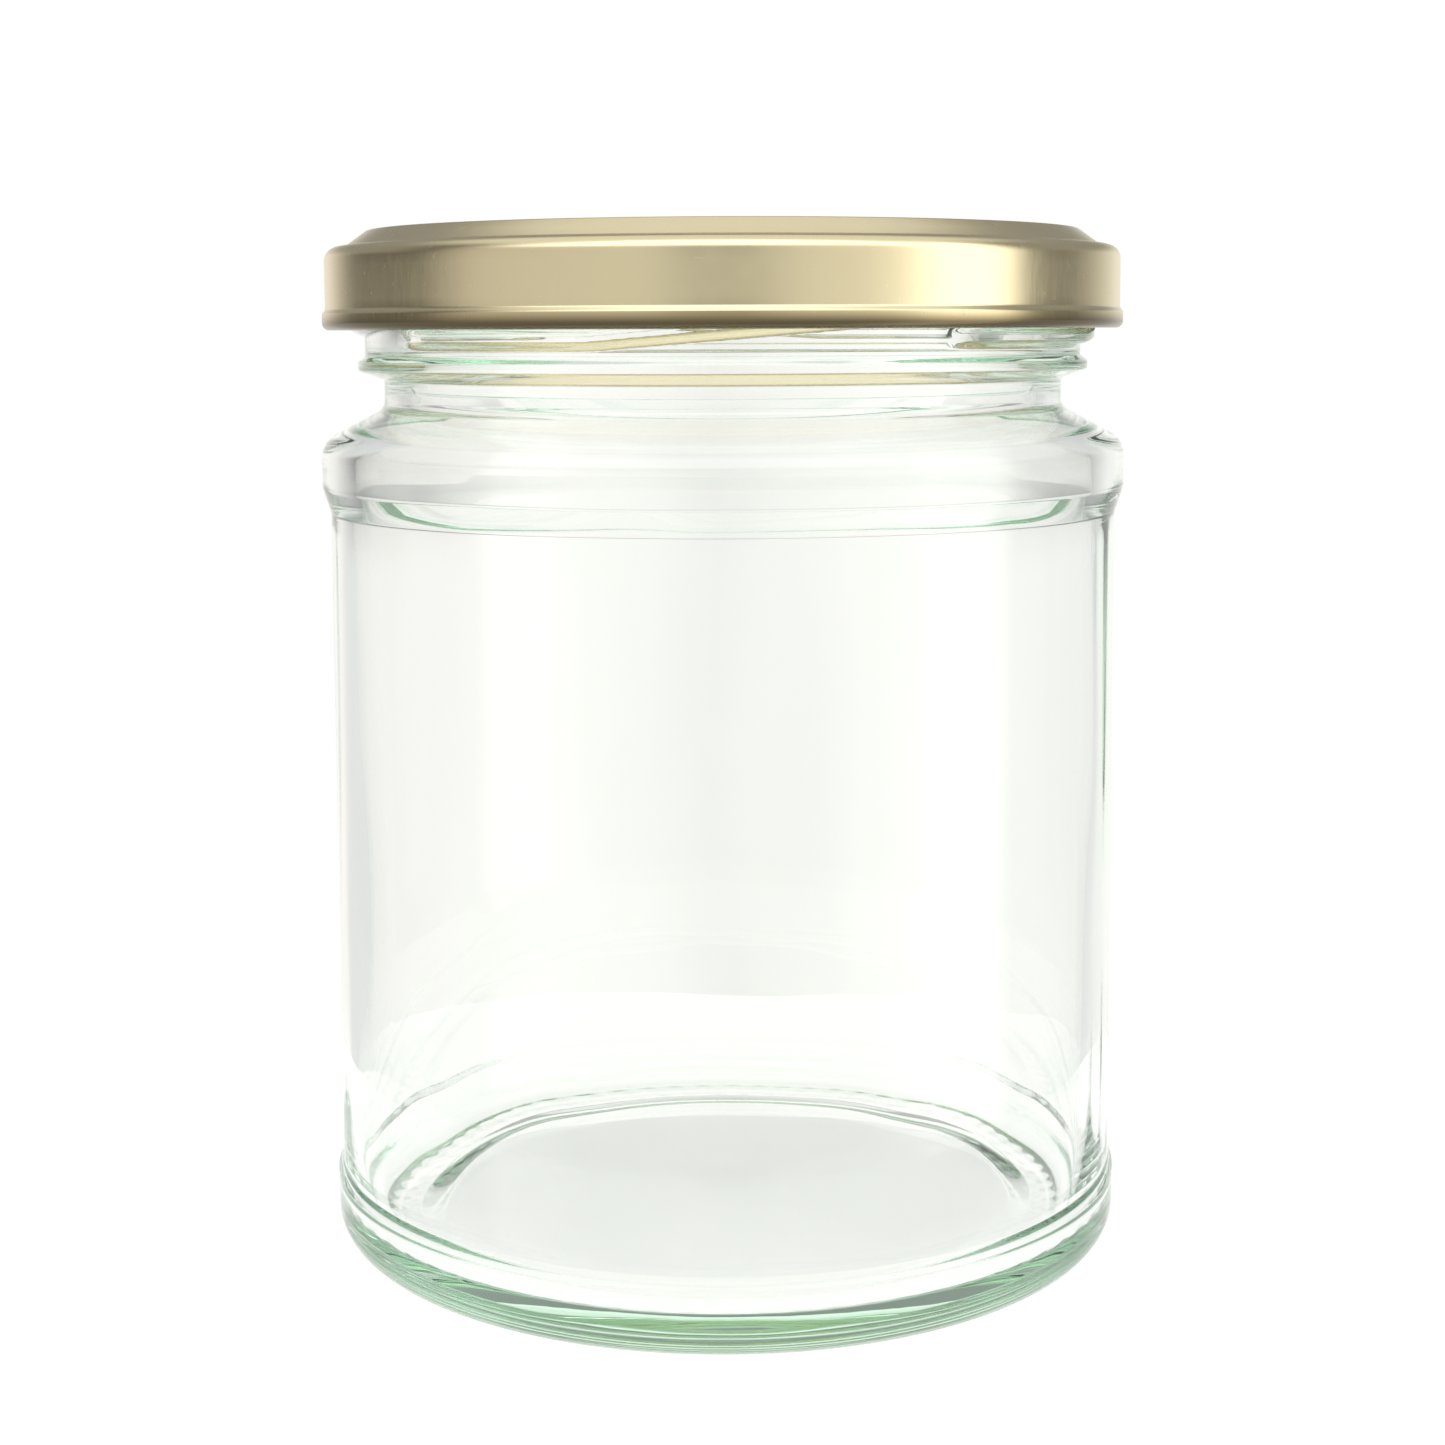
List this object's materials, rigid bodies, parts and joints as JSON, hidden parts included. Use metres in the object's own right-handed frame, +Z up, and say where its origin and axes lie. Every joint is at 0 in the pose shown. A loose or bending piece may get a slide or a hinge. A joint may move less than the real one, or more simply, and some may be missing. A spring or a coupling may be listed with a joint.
{
  "type": "twist-off glass food jar",
  "caption": "Cylindrical clear glass food jar with a recessed label panel and a gold lacquered metal twist-off lid.",
  "frame": {"origin": "centre of the base, in the plane that the jar stands on", "axes": "+Z up along the jar's axis, through the mouth and the lid; +Y away from the side taken as the front; +X to the right of that side"},
  "size_m": [0.0738, 0.0738, 0.093],
  "materials": {
    "glass": "smooth moulded soda-lime glass, faintly green through its thick edges",
    "lacquered_tinplate": "satin pale gold lacquer over tinplate, outside and inside",
    "sealing_compound": "soft off-white sealing compound, matt"
  },
  "bodies": {
    "jar": {"jar_glass": "glass"},
    "seal": {"sealing_gasket": "sealing_compound"},
    "lid": {"lid_shell": "lacquered_tinplate"}
  },
  "joints": [
    {"name": "lid_rise", "type": "slide", "parent": "jar", "child": "seal", "axis": [0, 0, 1], "range_m": [0, 0.0175]},
    {"name": "lid_turn", "type": "hinge", "parent": "seal", "child": "lid", "pos_m": [0, 0, 0.093], "axis": [0, 0, 1], "range_deg": [0, 360]}
  ],
  "couplings": [
    {"joint": "lid_rise", "follows": "lid_turn", "m_per_rad": 0.0027375}
  ]
}
